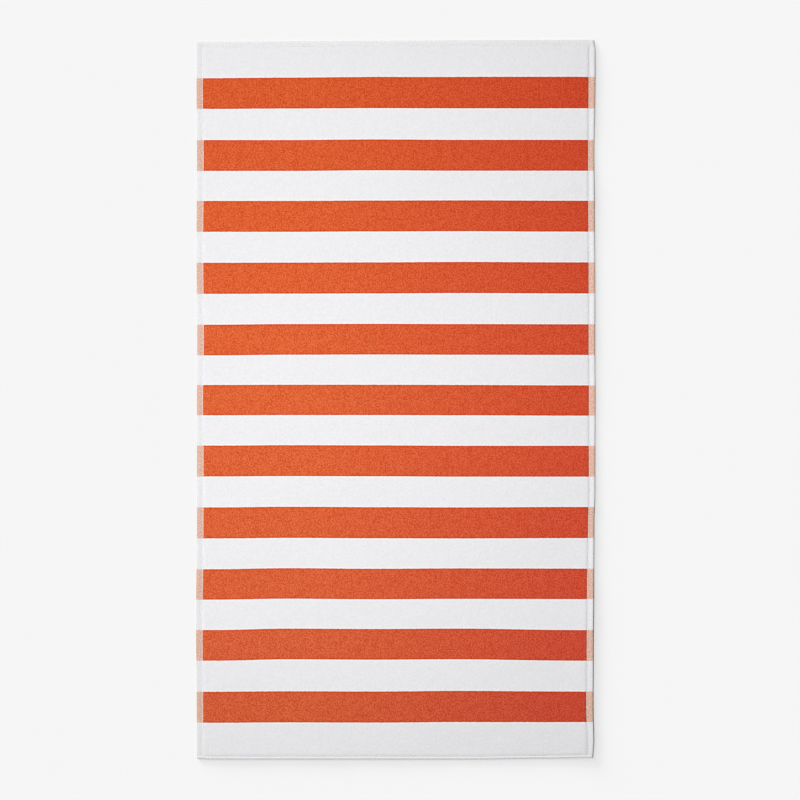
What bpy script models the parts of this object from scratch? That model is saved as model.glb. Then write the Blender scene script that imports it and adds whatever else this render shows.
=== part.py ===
"""A striped beach towel lying flat, as one closed sheet of cloth.

The towel is a single length of cotton pile cloth, 1.00 m wide along X and 1.80 m long along Y,
resting on Z = 0 with its underside flat. A flat-woven band down each long side is turned into a
hem, and both cut ends are turned over those hems and stitched down, which leaves a groove. The
right side lies slightly fuller than the left one, most of all near the foot. The eleven stripes
are woven in, so they are colour alone: they lie in the materials and raise nothing.
"""

import math

import bmesh
import bpy

# ---------------------------------------------------------------- driving sizes, in metres

WIDTH = 1.000              # across the towel, between the side folds
LENGTH = 1.800             # along the towel, between the end folds
CLOTH_THICKNESS = 0.0036   # backing and pile together, in the open field
RIM_DRAW_IN = 0.0010       # how far the rounded rim draws in above and below its widest line
CORNER_RADIUS = 0.0030     # the turned corners, seen from above

STRIPE_COUNT = 11          # coloured stripes, with a plain band of the same depth between them
STRIPE_DEPTH = 0.07675     # each stripe, along the towel
STRIPED_RUN = (2 * STRIPE_COUNT - 1) * STRIPE_DEPTH   # from the first stripe's edge to the last's
SIDE_BAND = 0.0168         # the flat-woven band down each side, where the pile stops

FIELD_CELLS_ACROSS = 16    # faces across the open field, between the side hems

# Section of a side hem, from its rim to the open field.
# columns: station, distance in from the side, height of the top face
SIDE_HEM = (
    ("rim", RIM_DRAW_IN, 0.0029),
    ("fold", 0.0034, 0.0032),
    ("crown", 0.0062, 0.0032),
    ("slope", 0.0102, 0.0029),
    ("stitches", 0.0151, 0.0022),
    ("pile foot", 0.0168, 0.0025),
    ("pile edge", 0.0179, CLOTH_THICKNESS),
)

# Section of the hem at the head, which is broad and lies almost level with the pile.
# columns: station, distance in from the end, height of the top face
HEAD_HEM = (
    ("rim", RIM_DRAW_IN, 0.0031),
    ("fold", 0.0046, 0.0033),
    ("crown", 0.0085, 0.0034),
    ("stitches", 0.0118, 0.0031),
    ("pile foot", 0.0132, 0.0032),
    ("pile edge", 0.0165, CLOTH_THICKNESS),
)

# Section of the hem at the foot, which is narrow and stands up before its stitches.
# columns: station, distance in from the end, height of the top face
FOOT_HEM = (
    ("rim", RIM_DRAW_IN, 0.0026),
    ("fold", 0.0028, 0.0032),
    ("crown", 0.0050, 0.0036),
    ("stitches", 0.0074, 0.0028),
    ("pile foot", 0.0085, 0.0029),
    ("pile edge", 0.0106, CLOTH_THICKNESS),
)

# Section across a corner, where an end hem is turned over a side hem.
# columns: station, distance in from the side, height of the top face
CORNER_TURN = (
    ("rim", RIM_DRAW_IN, 0.0026),
    ("fold", 0.0044, 0.0036),
    ("layers", 0.0151, 0.0036),
    ("pile edge", 0.0182, 0.0039),
)

# How far each edge strays outwards from the true rectangle.
# columns: place along the edge, outward stray
LEFT_STRAY = (
    (-0.90, -0.0006), (-0.77, -0.0001), (-0.55, 0.0018), (-0.31, -0.0007), (0.00, -0.0006),
    (0.15, -0.0013), (0.38, 0.0003), (0.61, -0.0008), (0.80, 0.0002), (0.90, 0.0000),
)
RIGHT_STRAY = (
    (-0.90, -0.0080), (-0.86, -0.0057), (-0.76, -0.0074), (-0.61, -0.0068), (-0.46, -0.0056),
    (-0.31, -0.0049), (-0.23, -0.0024), (-0.15, -0.0023), (0.00, -0.0018), (0.15, -0.0026),
    (0.31, -0.0025), (0.46, -0.0035), (0.61, -0.0046), (0.80, -0.0018), (0.87, -0.0016), (0.90, -0.0042),
)
BOTTOM_STRAY = ((-0.50, -0.0012), (-0.46, 0.0002), (0.20, 0.0004), (0.36, -0.0018), (0.50, -0.0036))
TOP_STRAY = ((-0.50, -0.0022), (-0.30, -0.0010), (0.00, 0.0006), (0.25, 0.0022), (0.50, 0.0028))

# How much wider each side hem lies than its section says.
# columns: place along the edge, extra width
LEFT_WIDER = (
    (-0.77, -0.0003), (-0.46, 0.0005), (-0.31, 0.0000), (-0.15, 0.0005), (0.00, -0.0011),
    (0.15, 0.0007), (0.38, 0.0010), (0.61, 0.0004), (0.77, -0.0008),
)
RIGHT_WIDER = (
    (-0.90, -0.0015), (-0.86, -0.0004), (-0.77, 0.0010), (-0.61, -0.0001), (-0.46, 0.0002),
    (-0.31, -0.0016), (0.00, -0.0008), (0.31, -0.0009), (0.46, -0.0009), (0.61, -0.0015),
    (0.80, 0.0000), (0.86, 0.0000), (0.90, -0.0026),
)

# How the right side differs from the left one: how much the outer half of its hem rises, how much
# higher that side of the towel lies, and how far the rim of the hem droops.
# columns: place along the edge, rise, lift, droop
RIGHT_FULLNESS = (
    (-0.90, -0.0003, 0.0013, 0.0), (-0.83, 0.0, 0.0014, 0.0), (-0.61, 0.0002, 0.0012, 0.0001),
    (-0.40, 0.0003, 0.0006, 0.0001), (-0.20, 0.0001, 0.0, 0.0002), (0.15, 0.0004, -0.0003, 0.0002),
    (0.50, 0.0006, -0.0005, 0.0003), (0.80, 0.0006, -0.0005, 0.0006), (0.90, 0.0004, -0.0005, 0.0010),
)
# columns: distance in from the right side, and there the shares of the rise, the lift and the
# droop, and how much shallower the stitch valley is
RIGHT_SHAPE = (
    (RIM_DRAW_IN, 1.0, 1.0, 1.0, 0.0), (0.0036, 1.0, 1.0, 0.15, 0.0), (0.0060, 0.9, 1.0, 0.0, 0.0),
    (0.0102, 0.4, 1.0, 0.0, 0.0), (0.0150, 0.0, 1.0, 0.0, 0.0003), (0.0168, 0.0, 1.0, 0.0, 0.0003),
    (0.0176, 0.0, 1.0, 0.0, 0.0), (0.0800, 0.0, 0.0, 0.0, 0.0),
)

# columns: material, base colour (linear red, green, blue), roughness
FINISHES = (
    ("white_pile", (0.84, 0.84, 0.86), 0.95),
    ("orange_pile", (0.70, 0.105, 0.028), 0.92),
    ("pale_flat_weave", (0.76, 0.46, 0.35), 0.90),
)
WHITE_PILE, ORANGE_PILE, PALE_FLAT_WEAVE = range(len(FINISHES))

# ---------------------------------------------------------------- reading the tables


def eased(rows, place, column=1):
    """Value at a place along rows that start with their place, eased from each row to the next."""
    if place <= rows[0][0]:
        return rows[0][column]
    for start, end in zip(rows, rows[1:]):
        if place <= end[0]:
            share = (place - start[0]) / (end[0] - start[0])
            return start[column] + (end[column] - start[column]) * (1.0 - math.cos(math.pi * share)) / 2.0
    return rows[-1][column]


def section_height(section, distance):
    """Height of the top face at a distance in from the edge of a hem's section."""
    return eased([(place, height) for _, place, height in section], distance)


def distance_of(section, station):
    """Distance in from the edge of a named station of a section."""
    return next(place for name, place, _ in section if name == station)


# ---------------------------------------------------------------- the cloth's own form


def top_height(across, along):
    """Height of the top face at a place of the true rectangle."""
    from_side = WIDTH / 2.0 - abs(across)
    from_end = LENGTH / 2.0 - abs(along)
    from_right = WIDTH / 2.0 - across
    end_hem = HEAD_HEM if along > 0.0 else FOOT_HEM
    in_end_hem = from_end < distance_of(end_hem, "stitches")
    side_hem = CORNER_TURN if in_end_hem else SIDE_HEM
    shallower = 0.0 if in_end_hem else eased(RIGHT_SHAPE, from_right, 4)
    even = min(section_height(side_hem, from_side) + shallower, section_height(end_hem, from_end))
    rise, lift, droop = (
        eased(RIGHT_FULLNESS, along, column) * eased(RIGHT_SHAPE, from_right, column) for column in (1, 2, 3)
    )
    return even + rise + lift - droop


def underside(across, along):
    """Height of the underside, which rests on the surface everywhere."""
    return 0.0


def rounded(across, along):
    """A place of the true rectangle, once its corners are rounded."""
    inside_side = max(CORNER_RADIUS - (WIDTH / 2.0 - abs(across)), 0.0)
    inside_end = max(CORNER_RADIUS - (LENGTH / 2.0 - abs(along)), 0.0)
    if inside_side == 0.0 or inside_end == 0.0:
        return across, along
    drawn_in = 1.0 - max(inside_side, inside_end) / math.hypot(inside_side, inside_end)
    x = across - math.copysign(inside_side * drawn_in, across)
    y = along - math.copysign(inside_end * drawn_in, along)
    return x, y


def extra_hem(across, along):
    """How far the pile is drawn back from the nearer side, towards +X."""
    foot = distance_of(SIDE_HEM, "pile foot")
    reach = eased(((0.0, 0.0), (foot, 1.0), (5.0 * foot, 0.0)), WIDTH / 2.0 - abs(across))
    return reach * (eased(LEFT_WIDER, along) if across < 0.0 else -eased(RIGHT_WIDER, along))


def laid(across, along):
    """Where a place of the true rectangle lies, once the edges have strayed."""
    x, y = rounded(across, along)
    share_across = x / WIDTH + 0.5
    share_along = y / LENGTH + 0.5
    stray_x = eased(RIGHT_STRAY, along) * share_across - eased(LEFT_STRAY, along) * (1.0 - share_across)
    stray_y = eased(TOP_STRAY, across) * share_along - eased(BOTTOM_STRAY, across) * (1.0 - share_along)
    return x + stray_x + extra_hem(across, along), y + stray_y


def stripe_edges():
    """Places along the towel of every stripe's edges, in order, with the middles between them."""
    half_depth = STRIPE_DEPTH / 2.0
    steps = round(STRIPED_RUN / half_depth)
    return [-STRIPED_RUN / 2.0 + step * half_depth for step in range(steps + 1)]


def stations_across():
    """Places of the mesh's lines across the towel: both side hems and the open field."""
    hem = [-WIDTH / 2.0 + place for _, place, _ in SIDE_HEM]
    step = -2.0 * hem[-1] / FIELD_CELLS_ACROSS
    field = [hem[-1] + step * cell for cell in range(1, FIELD_CELLS_ACROSS)]
    return hem + field + [-place for place in reversed(hem)]


def stations_along():
    """Places of the mesh's lines along the towel: both end hems and the stripes' edges."""
    foot = [-LENGTH / 2.0 + place for _, place, _ in FOOT_HEM]
    head = [LENGTH / 2.0 - place for _, place, _ in reversed(HEAD_HEM)]
    in_end_bands = (LENGTH + STRIPED_RUN) / 4.0
    return foot + [-in_end_bands] + stripe_edges() + [in_end_bands] + head


def finish_at(across, along):
    """Which finish covers the face whose middle is at this place."""
    past_first_edge = along + STRIPED_RUN / 2.0
    between_stripes = int(past_first_edge // STRIPE_DEPTH) % 2 == 1
    if not 0.0 < past_first_edge < STRIPED_RUN or between_stripes:
        return WHITE_PILE
    on_side_band = abs(across) > WIDTH / 2.0 - SIDE_BAND
    return PALE_FLAT_WEAVE if on_side_band else ORANGE_PILE


# ---------------------------------------------------------------- the mesh


def sheet_face(shape, across_lines, along_lines, height):
    """Vertices of one face of the sheet, as rows along the towel, at the given height function."""
    rows = []
    for along in along_lines:
        row = []
        for across in across_lines:
            x, y = laid(across, along)
            row.append(shape.verts.new((x, y, height(across, along))))
        rows.append(row)
    return rows


def fill_face(shape, rows, across_lines, along_lines, upwards):
    """Quads over the rows of one face, each with the finish of its place."""
    for j in range(len(along_lines) - 1):
        for i in range(len(across_lines) - 1):
            corners = [rows[j][i], rows[j][i + 1], rows[j + 1][i + 1], rows[j + 1][i]]
            quad = shape.faces.new(corners if upwards else corners[::-1])
            middle_across = (across_lines[i] + across_lines[i + 1]) / 2.0
            middle_along = (along_lines[j] + along_lines[j + 1]) / 2.0
            quad.material_index = finish_at(middle_across, middle_along)
            quad.smooth = True


def ring_places(columns, lines):
    """Grid places around the border of a face, anticlockwise, as (column, line) pairs."""
    bottom = [(i, 0) for i in range(columns - 1)]
    right = [(columns - 1, j) for j in range(lines - 1)]
    top = [(i, lines - 1) for i in range(columns - 1, 0, -1)]
    left = [(0, j) for j in range(lines - 1, 0, -1)]
    return bottom + right + top + left


def outward(index, count):
    """Direction out of the sheet at a line of the mesh: -1 at the first, 1 at the last, else 0."""
    return (index == count - 1) - (index == 0)


def widest_point(shape, across, along, out_across, out_along, height):
    """Vertex on the rim's widest line, outside a border place of the faces."""
    x, y = laid(across + out_across * RIM_DRAW_IN, along + out_along * RIM_DRAW_IN)
    return shape.verts.new((x, y, height))


def close_rim(shape, top_rows, under_rows, across_lines, along_lines):
    """Rounded rim that joins the top face to the underside, through its widest line."""
    places = ring_places(len(across_lines), len(along_lines))
    widest = []
    for i, j in places:
        out_across = outward(i, len(across_lines))
        out_along = outward(j, len(along_lines))
        height = top_rows[j][i].co.z / 2.0
        widest.append(widest_point(shape, across_lines[i], along_lines[j], out_across, out_along, height))
    for step, (i, j) in enumerate(places):
        following = (step + 1) % len(places)
        next_i, next_j = places[following]
        middle_across = (across_lines[i] + across_lines[next_i]) / 2.0
        middle_along = (along_lines[j] + along_lines[next_j]) / 2.0
        upper = [widest[step], widest[following], top_rows[next_j][next_i], top_rows[j][i]]
        lower = [under_rows[j][i], under_rows[next_j][next_i], widest[following], widest[step]]
        for corners in (upper, lower):
            side = shape.faces.new(corners)
            side.material_index = finish_at(middle_across, middle_along)
            side.smooth = True


def centre_on_box(shape):
    """Move the sheet so that the middle of its own box stands at X = 0, Y = 0."""
    for axis in range(2):
        reaches = [vertex.co[axis] for vertex in shape.verts]
        middle = (min(reaches) + max(reaches)) / 2.0
        for vertex in shape.verts:
            vertex.co[axis] -= middle


def towel_mesh():
    """The whole towel as one closed sheet."""
    across_lines = stations_across()
    along_lines = stations_along()
    shape = bmesh.new()
    top_rows = sheet_face(shape, across_lines, along_lines, top_height)
    under_rows = sheet_face(shape, across_lines, along_lines, underside)
    fill_face(shape, top_rows, across_lines, along_lines, upwards=True)
    fill_face(shape, under_rows, across_lines, along_lines, upwards=False)
    close_rim(shape, top_rows, under_rows, across_lines, along_lines)
    centre_on_box(shape)
    mesh = bpy.data.meshes.new("towel")
    shape.to_mesh(mesh)
    shape.free()
    return mesh


# ---------------------------------------------------------------- finishes and the object


def cloth_material(name, colour, roughness):
    """A plain woven finish."""
    material = bpy.data.materials.new(name)
    material.use_nodes = True
    shader = material.node_tree.nodes["Principled BSDF"]
    shader.inputs["Base Color"].default_value = (*colour, 1.0)
    shader.inputs["Roughness"].default_value = roughness
    shader.inputs["Metallic"].default_value = 0.0
    material.diffuse_color = (*colour, 1.0)
    return material


def build():
    """Clear the scene and lay the towel on Z = 0."""
    for old in list(bpy.data.objects):
        bpy.data.objects.remove(old)
    towel = bpy.data.objects.new("towel", towel_mesh())
    for name, colour, roughness in FINISHES:
        towel.data.materials.append(cloth_material(name, colour, roughness))
    bpy.context.scene.collection.objects.link(towel)


build()
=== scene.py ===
"""Looks of a striped beach towel that lies flat and face up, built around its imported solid.

Everything is in metres, in the solid's own frame: X across the towel, Y along it, Z up.
The cloth is first set out in its own flat coordinates, "across" and "along", in which the woven
stripes are straight and the edges square. Every mesh keeps those coordinates as a UV map, so the
finishes follow the cloth, and its points then move to where the towel really lies.
"""

from __future__ import annotations

import logging
import math
from dataclasses import dataclass, field
from enum import Enum
from functools import partialmethod

import bpy
import numpy as np
from bpy.types import Material, Object
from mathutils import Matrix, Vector


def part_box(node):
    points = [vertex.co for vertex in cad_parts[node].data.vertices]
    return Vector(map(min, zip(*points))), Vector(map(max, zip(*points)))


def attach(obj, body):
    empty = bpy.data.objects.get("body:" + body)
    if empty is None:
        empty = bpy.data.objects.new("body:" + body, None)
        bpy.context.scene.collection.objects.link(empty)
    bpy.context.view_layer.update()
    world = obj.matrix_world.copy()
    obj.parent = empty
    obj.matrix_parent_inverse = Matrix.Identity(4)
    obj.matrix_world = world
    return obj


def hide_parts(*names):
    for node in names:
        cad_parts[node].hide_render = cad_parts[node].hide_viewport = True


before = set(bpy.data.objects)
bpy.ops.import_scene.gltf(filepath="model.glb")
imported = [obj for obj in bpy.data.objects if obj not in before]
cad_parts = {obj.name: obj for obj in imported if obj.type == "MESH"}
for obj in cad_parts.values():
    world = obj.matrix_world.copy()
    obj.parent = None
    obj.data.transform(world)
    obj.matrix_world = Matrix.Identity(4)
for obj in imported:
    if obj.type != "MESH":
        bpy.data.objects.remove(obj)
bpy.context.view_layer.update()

LOG = logging.getLogger("towel")
NODE = "towel"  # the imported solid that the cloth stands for
BODY = "root"
PLACE_MAP = "place"  # UV map: each piece's own flat coordinates, in metres
BAKE_MAP = "OFBake"  # UV map: every face apart from the others, in one square
Array = np.ndarray
Triple = tuple[float, float, float]
RGB = Triple
Rows = tuple[tuple[float, float], ...]  # a table of places and values
Shades = tuple[tuple[float, RGB], ...]  # a table of places and colours
Inputs = dict[str | int, object]  # what the input sockets of a node get, by their names or numbers
Faces = list[list[int]]  # the numbers of each face's points
Hemlines = tuple[float, ...]  # distances in from an edge

# ---------------------------------------------------------------- the cloth's sizes

WIDTH = 1.000  # across the towel, between the side folds
LENGTH = 1.800  # along the towel, between the end folds
RIM = 0.0010  # how far the rounded rim draws in above and below its widest line
CORNER_RADIUS = 0.003  # the turned corners, seen from above

STRIPE_COUNT = 11
STRIPE_DEPTH = 0.07675  # each stripe, along the towel, and each plain band between two
STRIPE_PITCH = 2.0 * STRIPE_DEPTH
STRIPED_RUN = (2 * STRIPE_COUNT - 1) * STRIPE_DEPTH

# How far each edge strays outwards from the true rectangle.
# columns: place along the edge, outward stray
LEFT_STRAY = (
    (-0.90, -0.0006), (-0.77, -0.0001), (-0.55, 0.0018), (-0.31, -0.0007), (0.00, -0.0006),
    (0.15, -0.0013), (0.38, 0.0003), (0.61, -0.0008), (0.80, 0.0002), (0.90, 0.0000),
)
RIGHT_STRAY = (
    (-0.90, -0.0080), (-0.86, -0.0057), (-0.76, -0.0074), (-0.61, -0.0068), (-0.46, -0.0056),
    (-0.31, -0.0049), (-0.23, -0.0024), (-0.15, -0.0023), (0.00, -0.0018), (0.15, -0.0026),
    (0.31, -0.0025), (0.46, -0.0035), (0.61, -0.0046), (0.80, -0.0018), (0.87, -0.0016), (0.90, -0.0042),
)
BOTTOM_STRAY = ((-0.50, -0.0012), (-0.46, 0.0002), (0.20, 0.0004), (0.36, -0.0018), (0.50, -0.0036))
TOP_STRAY = ((-0.50, -0.0022), (-0.30, -0.0010), (0.00, 0.0006), (0.25, 0.0022), (0.50, 0.0028))

# How far a stray of an end reaches into the cloth.
# columns: place towards that end, share of the stray
END_REACH = ((STRIPED_RUN / 2.0 - STRIPE_DEPTH, 0.0), (LENGTH / 2.0, 1.0))

# How much wider each side hem lies than its section says.
# columns: place along the edge, extra width
LEFT_WIDER = (
    (-0.77, -0.0005), (-0.46, 0.0001), (-0.31, -0.0002), (-0.15, -0.0001), (0.00, -0.0014),
    (0.15, 0.0000), (0.38, 0.0002), (0.61, 0.0001), (0.77, -0.0009),
)
RIGHT_WIDER = (
    (-0.90, -0.0015), (-0.86, -0.0004), (-0.77, 0.0006), (-0.61, -0.0002), (-0.46, 0.0001),
    (-0.31, -0.0016), (0.00, -0.0008), (0.31, -0.0009), (0.46, -0.0009), (0.61, -0.0015),
    (0.80, 0.0000), (0.86, 0.0000), (0.90, -0.0026),
)

# How the right side differs from the left one: how much the outer half of its hem rises, how much
# higher that side of the towel lies, and how far the rim of the hem droops.
# columns: place along the edge, rise, lift, droop
RIGHT_FULLNESS = (
    (-0.90, -0.0003, 0.0013, 0.0), (-0.83, 0.0, 0.0014, 0.0), (-0.61, 0.0002, 0.0012, 0.0001),
    (-0.40, 0.0003, 0.0006, 0.0001), (-0.20, 0.0001, 0.0, 0.0002), (0.15, 0.0004, -0.0003, 0.0002),
    (0.50, 0.0006, -0.0005, 0.0003), (0.80, 0.0006, -0.0005, 0.0006), (0.90, 0.0004, -0.0005, 0.0010),
)
# columns: distance in from the right side, and there the shares of the rise, the lift and the
# droop, and how much shallower the stitch valley is
RIGHT_SHAPE = (
    (RIM, 1.0, 1.0, 1.0, 0.0), (0.0036, 1.0, 1.0, 0.15, 0.0), (0.0060, 0.9, 1.0, 0.0, 0.0),
    (0.0102, 0.4, 1.0, 0.0, 0.0), (0.0150, 0.0, 1.0, 0.0, 0.0005), (0.0168, 0.0, 1.0, 0.0, 0.0006),
    (0.0176, 0.0, 1.0, 0.0, 0.0), (0.0800, 0.0, 0.0, 0.0, 0.0),
)

# How far each stripe has slipped towards the head of the towel, and how much deeper it is than the
# others, from the first stripe under the head to the last.
# columns: the slip at each of the places across the towel, extra depth
SLIP_PLACES = (-0.45, -0.27, -0.05, 0.16, 0.45)
STRIPE_SLIP = (
    (0.0005, 0.0015, 0.0025, 0.0020, 0.0020, 0.0005),
    (-0.0015, -0.0015, 0.0, -0.0010, -0.0010, 0.0),
    (-0.0005, -0.0005, 0.0005, 0.0010, 0.0, 0.0),
    (-0.0020, -0.0015, -0.0010, 0.0, -0.0010, 0.0005),
    (-0.0030, -0.0015, -0.0010, -0.0015, -0.0020, -0.0005),
    (0.0, 0.0005, 0.0005, 0.0, -0.0010, -0.0015),
    (0.0010, 0.0020, 0.0015, 0.0005, 0.0005, 0.0),
    (-0.0005, 0.0010, 0.0, -0.0005, 0.0005, 0.0005),
    (-0.0010, 0.0015, 0.0, 0.0010, 0.0005, -0.0010),
    (0.0, 0.0035, 0.0025, 0.0035, 0.0, -0.0005),
    (-0.0015, -0.0005, -0.0010, 0.0005, -0.0010, 0.0005),
)


class Side(Enum):
    """The two long sides of the towel, by their direction along X."""

    LEFT = -1
    RIGHT = 1


class End(Enum):
    """The two short ends of the towel, by their direction along Y."""

    FOOT = -1
    HEAD = 1


class Slot(Enum):
    """The material slots of the cloth, in order."""

    PILE = 0
    FLAT_WEAVE = 1


@dataclass(frozen=True)
class Hem:
    """The section of one hem, measured in from its edge."""

    stitches: float  # the stitch line
    pile_foot: float  # where the pile starts
    section: Rows  # columns: distance in from the edge, height of the top face
    lines: Hemlines  # lines of the fine mesh


SIDE_HEM = Hem(
    stitches=0.0151,
    pile_foot=0.0168,
    section=(
        (RIM, 0.0029), (0.0034, 0.0032), (0.0062, 0.0032), (0.0102, 0.0029), (0.0151, 0.0022),
        (0.0168, 0.0025), (0.0179, 0.0036),
    ),
    lines=(RIM, 0.0021, 0.0034, 0.0048, 0.0062, 0.0082, 0.0102, 0.0126, 0.0151, 0.0168, 0.0173, 0.0179),
)
HEAD_HEM = Hem(
    stitches=0.0118,
    pile_foot=0.0132,
    section=(
        (RIM, 0.0031), (0.0046, 0.0033), (0.0085, 0.0034), (0.0118, 0.0031),
        (0.0132, 0.0032), (0.0165, 0.0036),
    ),
    lines=(RIM, 0.0028, 0.0046, 0.0064, 0.0085, 0.0102, 0.0118, 0.0125, 0.0132, 0.0148, 0.0165),
)
FOOT_HEM = Hem(
    stitches=0.0074,
    pile_foot=0.0085,
    section=(
        (RIM, 0.0026), (0.0028, 0.0032), (0.0050, 0.0036), (0.0074, 0.0028),
        (0.0085, 0.0029), (0.0106, 0.0036),
    ),
    lines=(RIM, 0.0018, 0.0028, 0.0039, 0.0050, 0.0058, 0.0066, 0.0074, 0.0085, 0.0095, 0.0106),
)
HEMS = {Side.LEFT: SIDE_HEM, Side.RIGHT: SIDE_HEM, End.FOOT: FOOT_HEM, End.HEAD: HEAD_HEM}

# Where an end hem is turned over a side hem, measured in from the side.
# columns: distance in from the side, height of the top face
CORNER_TURN = ((RIM, 0.0026), (0.0044, 0.0036), (0.0143, 0.0036), (0.0182, 0.0039))
CORNER_FOLD = 0.0016  # how far ahead of an end's stitches that turn starts to sink
END_SEAM_STOP = 0.004  # how far from the corners an end's stitches stop

# How a wider side hem draws the cloth beside it along.
# columns: distance in from the side, share of the extra width
HEM_DRAW = ((0.0, 0.0), (SIDE_HEM.pile_foot, 1.0), (5.0 * SIDE_HEM.pile_foot, 0.0))


# ---------------------------------------------------------------- shader expressions


class Signal:
    """One output socket, so that sums on sockets can be written as Python expressions."""

    def __init__(self, graph: Graph, socket: bpy.types.NodeSocket) -> None:
        """Wrap an output socket of one of the graph's nodes."""
        self.graph = graph
        self.socket = socket

    def _maths(self, operation: str, *others: Signal | float) -> Signal:
        """Return the result of one Math node over self and the others."""
        return self.graph.maths(operation, self, *others)

    __add__ = partialmethod(_maths, "ADD")
    __sub__ = partialmethod(_maths, "SUBTRACT")
    __mul__ = partialmethod(_maths, "MULTIPLY")
    __truediv__ = partialmethod(_maths, "DIVIDE")
    __abs__ = partialmethod(_maths, "ABSOLUTE")
    __lt__ = partialmethod(_maths, "LESS_THAN")  # 1 where self is under the other, 0 elsewhere
    fraction = partialmethod(_maths, "FRACT")  # the part of self after the decimal point
    sine = partialmethod(_maths, "SINE")

    def __rsub__(self, other: float) -> Signal:
        """Return other - self."""
        return self.graph.maths("SUBTRACT", other, self)

    def held(self) -> Signal:
        """Return self held between 0 and 1."""
        return self._maths("MAXIMUM", 0.0)._maths("MINIMUM", 1.0)


class Graph:
    """The nodes of one material."""

    def __init__(self, name: str, constants: Inputs) -> None:
        """Start a material that holds one Principled shader.

        Args:
            name: The material's name.
            constants: What the shader's own sockets hold all over the surface.
        """
        self.material = bpy.data.materials.new(name)
        self.material.use_nodes = True
        self.tree = self.material.node_tree
        self.shader = self.tree.nodes["Principled BSDF"]
        self.feed(self.shader, constants)

    def dressed(self, colour: Signal, height: Signal, relief: float) -> Material:
        """Give the shader its colour, and bumps from a height whose unit is relief in metres.

        Args:
            colour: The colour.
            height: The height.
            relief: How deep the bumps are.

        Returns:
            The material.
        """
        inputs = {"Strength": 1.0, "Distance": relief, "Height": height}
        normal = self.signal("ShaderNodeBump", inputs, "Normal")
        self.feed(self.shader, {"Base Color": colour, "Normal": normal})
        return self.material

    def feed(self, node: bpy.types.Node, inputs: Inputs) -> None:
        """Give a node's input sockets their signals and values.

        Args:
            node: The node.
            inputs: What each input socket gets: a signal, which is linked, or a value.
        """
        for key, value in inputs.items():
            if isinstance(value, Signal):
                self.tree.links.new(value.socket, node.inputs[key])
            else:
                node.inputs[key].default_value = value

    def node(self, kind: str, inputs: Inputs, **settings: object) -> bpy.types.Node:
        """Add one node.

        Args:
            kind: The node's type.
            inputs: What each input socket gets: a signal, which is linked, or a value.
            settings: The node's own settings, which are set first.

        Returns:
            The node.
        """
        node = self.tree.nodes.new(kind)
        for name, value in settings.items():
            setattr(node, name, value)
        self.feed(node, inputs)
        return node

    def signal(self, kind: str, inputs: Inputs, output: str | int = 0, **settings: object) -> Signal:
        """Add one node, as above, and return the output that has this name or number."""
        return Signal(self, self.node(kind, inputs, **settings).outputs[output])

    def maths(self, operation: str, *values: Signal | float) -> Signal:
        """Return the result of one Math node over these values."""
        return self.signal("ShaderNodeMath", dict(enumerate(values)), operation=operation)

    def vector_maths(self, operation: str, *values: Signal | Triple) -> Signal:
        """Return the result of one Vector Math node over these values."""
        return self.signal("ShaderNodeVectorMath", dict(enumerate(values)), operation=operation)

    def place(self) -> tuple[Signal, Signal, Signal]:
        """Read the flat coordinates.

        Returns:
            The coordinates as one vector, then its two parts, across and along.
        """
        vector = self.signal("ShaderNodeUVMap", {}, uv_map=PLACE_MAP)
        parts = self.node("ShaderNodeSeparateXYZ", {0: vector})
        return vector, Signal(self, parts.outputs[0]), Signal(self, parts.outputs[1])

    def noise(self, vector: Signal, grain: float, detail: float = 1.0, stretch: float = 1.0) -> Signal:
        """Return soft noise around 0, within about half a unit either way.

        Args:
            vector: Where it is read.
            grain: The size of its patches along the towel, in metres.
            detail: How many finer octaves it has.
            stretch: How many times longer its patches are across the towel.

        Returns:
            The noise.
        """
        scale = 1.0 / grain
        apart = (31.0 * detail, 17.0 * stretch, 0.0)  # keeps one noise from repeating another
        read_at = self.vector_maths("MULTIPLY_ADD", vector, (scale / stretch, scale, 1.0), apart)
        inputs = {"Vector": read_at, "Scale": 1.0, "Detail": detail, "Roughness": 0.5}
        return self.signal("ShaderNodeTexNoise", inputs, "Fac", noise_dimensions="2D") - 0.5

    def cells(self, vector: Signal, size: float, stretch: float = 1.0) -> Signal:
        """Find how far the middle of the nearest of many loose cells is.

        Args:
            vector: Where it is read.
            size: How far apart the cells are along the towel, in metres.
            stretch: How many times further apart they are across the towel.

        Returns:
            The distance, in cells.
        """
        read_at = self.vector_maths("MULTIPLY", vector, (1.0 / (size * stretch), 1.0 / size, 1.0))
        inputs = {"Vector": read_at, "Scale": 1.0}
        settings = {"voronoi_dimensions": "2D", "feature": "F1"}
        return self.signal("ShaderNodeTexVoronoi", inputs, "Distance", **settings)

    def blend(self, share: Signal, first: Signal | RGB, second: Signal | RGB) -> Signal:
        """Mix two colours.

        Args:
            share: How much of the second colour there is, from 0 to 1.
            first: The first colour.
            second: The second colour.

        Returns:
            The mixed colour.
        """
        mix = self.node("ShaderNodeMix", {}, data_type="RGBA", blend_type="MIX")
        sockets = {socket.identifier: socket for socket in mix.inputs}
        for identifier, value in {"Factor_Float": share, "A_Color": first, "B_Color": second}.items():
            if isinstance(value, Signal):
                self.tree.links.new(value.socket, sockets[identifier])
            else:
                sockets[identifier].default_value = (*value, 1.0)
        return Signal(self, next(s for s in mix.outputs if s.identifier == "Result_Color"))

    def shaded(self, colour: Signal | RGB, grain: Signal, reach: RGB) -> Signal:
        """Return the colour times 1 - reach to 1 + reach, as grain goes from 0 to 1."""
        darkest, lightest = (tuple(1.0 + sign * share for share in reach) for sign in (-1.0, 1.0))
        return self.times(self.blend(grain, darkest, lightest), colour)

    def times(self, first: Signal, second: Signal | RGB) -> Signal:
        """Return one colour times another, channel by channel."""
        return self.vector_maths("MULTIPLY", first, second)

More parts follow.
